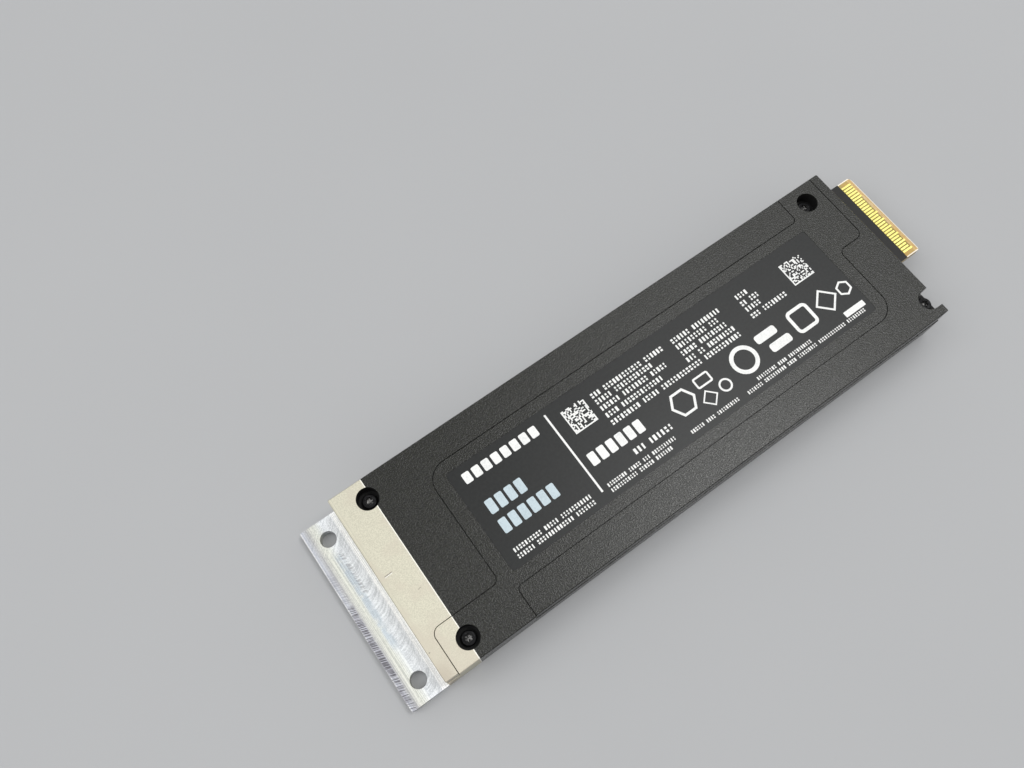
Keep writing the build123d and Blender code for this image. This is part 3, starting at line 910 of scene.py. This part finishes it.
def screw_mesh(head_radius):
    """One screw about the Z axis: rings from the recess floor, over the head, down to the tip."""
    angles = [2 * math.pi * step / screw_steps for step in range(screw_steps)]
    lobes = [recess_waist + (recess_reach - recess_waist) * (0.5 + 0.5 * math.cos(6 * angle))
             for angle in angles]
    tip = screw_low.z / mm
    face = screw_top - head_dome

    def round_ring(radius, level):
        return [(radius, level)] * screw_steps

    def dome(radius):
        return screw_top - head_dome * (radius / head_radius) ** 2

    rings = [[(lobe * share, face - depth) for lobe in lobes]
             for share, depth in recess_rings]
    rings.append([(lobe, dome(lobe)) for lobe in lobes])
    rings.append(round_ring(dome_ring * head_radius, dome(dome_ring * head_radius)))
    rings.append(round_ring(head_radius - head_break, face))
    rings.append(round_ring(head_radius, face - head_break))
    rings.append(round_ring(head_radius, screw_seat))
    rings.append(round_ring(shank_radius, screw_seat))
    ring_gap = thread_pitch / thread_rings_per_turn
    for count in range(int((screw_seat - tip) / ring_gap)):
        level = screw_seat - (count + 1) * ring_gap
        ring = []
        for angle in angles:
            phase = (level / thread_pitch - angle / (2 * math.pi)) % 1.0
            ring.append((shank_radius - thread_depth * abs(2 * phase - 1), level))
        rings.append(ring)
    rings.append(round_ring(shank_radius - thread_depth, tip + tip_break))
    rings.append(round_ring(shank_radius - 2 * thread_depth, tip))
    shape = bmesh.new()
    loops = [[shape.verts.new((radius * math.cos(angle) * mm, radius * math.sin(angle) * mm, level * mm))
              for angle, (radius, level) in zip(angles, ring)] for ring in rings]
    for upper, lower in zip(loops, loops[1:]):
        for step in range(screw_steps):
            after = (step + 1) % screw_steps
            shape.faces.new((upper[step], lower[step], lower[after], upper[after]))
    shape.faces.new(loops[0])
    shape.faces.new(list(reversed(loops[-1])))
    bmesh.ops.recalc_face_normals(shape, faces=shape.faces)
    mesh = bpy.data.meshes.new("one_screw")
    shape.to_mesh(mesh)
    shape.free()
    return mesh


def screw_pattern(material):
    """One screw on each point, each stopped at its own turn."""
    screws = Pattern("screw_places", screw="NodeSocketObject", seed="NodeSocketInt")
    one = screws.add("GeometryNodeObjectInfo", {}, {"Object": screws.input("screw")}, "Geometry")
    turn = screws.chance(0.0, 2 * math.pi, screws.input("seed"))
    placed = screws.add("GeometryNodeInstanceOnPoints", {}, {
        "Points": screws.input("Geometry"), "Instance": one, "Rotation": screws.at(0.0, 0.0, turn)})
    screws.close(placed, material)
    return screws


head_low, head_high = screw_boxes()[0]
one_screw = bpy.data.objects.new("one_screw", screw_mesh((head_high.x - head_low.x) / 2 / mm))
bpy.context.scene.collection.objects.link(one_screw)
screw_spots = bpy.data.meshes.new("screw_spots")
screw_spots.from_pydata([(axis.x * mm, axis.y * mm, 0.0) for axis in screw_axes()], [], [])
screws_finished = screw_pattern(screw_finish().material).run("case_screws_finished", screw_spots,
                                                            screw=one_screw, seed=turn_seed)
bpy.data.objects.remove(one_screw)
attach(screws_finished, "root")
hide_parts("case_screws")

# Floor, light and camera: a plain pale floor under soft lights. The two narrow ones, high above the
# part, lay a soft sheen on the case. The camera stands above the front of the part.
floor_reach = 3.0
floor_drop = 0.02
floor_pale = (0.372, 0.377, 0.384)
floor_shade = (0.356, 0.361, 0.368)
world_light = 0.50
# Each light: the direction that it comes from, how wide it is in degrees, and its strength.
soft_lights = {
    "overhead": ((-0.30, 0.20, 1.00), 60.0, 0.35),
    "sheen": ((0.36, -0.06, 1.00), 18.0, 1.05),
    "sheen_side": ((0.45, 0.32, 1.00), 18.0, 0.18),
    "beyond_card_edge": ((0.64, 0.12, 0.58), 46.0, 0.35),
    "ahead_of_lip": ((-0.80, 0.20, 1.00), 50.0, 1.08),
}
camera_spot = (-46.434, -24.437, 144.315)
camera_heading = 54.032
camera_dip = 69.755
camera_roll = 0.465
camera_lens = 30.43
camera_sensor = 36.0
camera_near = 0.005


def floor_finish():
    floor = Finish("floor_pale")
    tone = floor.noise(60.0, 2.0)
    floor.paint({"Base Color": floor.blend(tone, floor_pale, floor_shade), "Roughness": 0.7})
    return floor


floor_mesh = bpy.data.meshes.new("floor")
floor_mesh.from_pydata([(x * floor_reach, y * floor_reach, -floor_drop * mm)
                        for x, y in ((-1, -1), (1, -1), (1, 1), (-1, 1))], [], [(0, 1, 2, 3)])
floor_mesh.materials.append(floor_finish().material)
floor_piece = bpy.data.objects.new("floor", floor_mesh)
bpy.context.scene.collection.objects.link(floor_piece)

for light_name, (source, width, strength) in soft_lights.items():
    lamp = bpy.data.lights.new(light_name, "SUN")
    lamp.angle = math.radians(width)
    lamp.energy = strength
    holder = bpy.data.objects.new(light_name, lamp)
    holder.location = source
    holder.rotation_euler = (-Vector(source)).to_track_quat("-Z", "Y").to_euler()
    bpy.context.scene.collection.objects.link(holder)

world = bpy.data.worlds.new("studio")
world.use_nodes = True
world.node_tree.nodes["Background"].inputs["Color"].default_value = (1.0, 1.0, 1.0, 1.0)
world.node_tree.nodes["Background"].inputs["Strength"].default_value = world_light
bpy.context.scene.world = world
bpy.context.scene.view_settings.view_transform = "Standard"

camera = bpy.data.objects.new("camera", bpy.data.cameras.new("camera"))
camera.data.lens = camera_lens
camera.data.sensor_width = camera_sensor
camera.data.clip_start = camera_near
camera.location = Vector(camera_spot) * mm
turn = Euler((0.0, 0.0, math.radians(camera_heading - 90.0))).to_matrix()
tilt = Euler((math.radians(90.0 - camera_dip), 0.0, 0.0)).to_matrix()
roll = Euler((0.0, 0.0, math.radians(camera_roll))).to_matrix()
camera.rotation_euler = (turn @ tilt @ roll).to_euler()
bpy.context.scene.collection.objects.link(camera)
bpy.context.scene.camera = camera
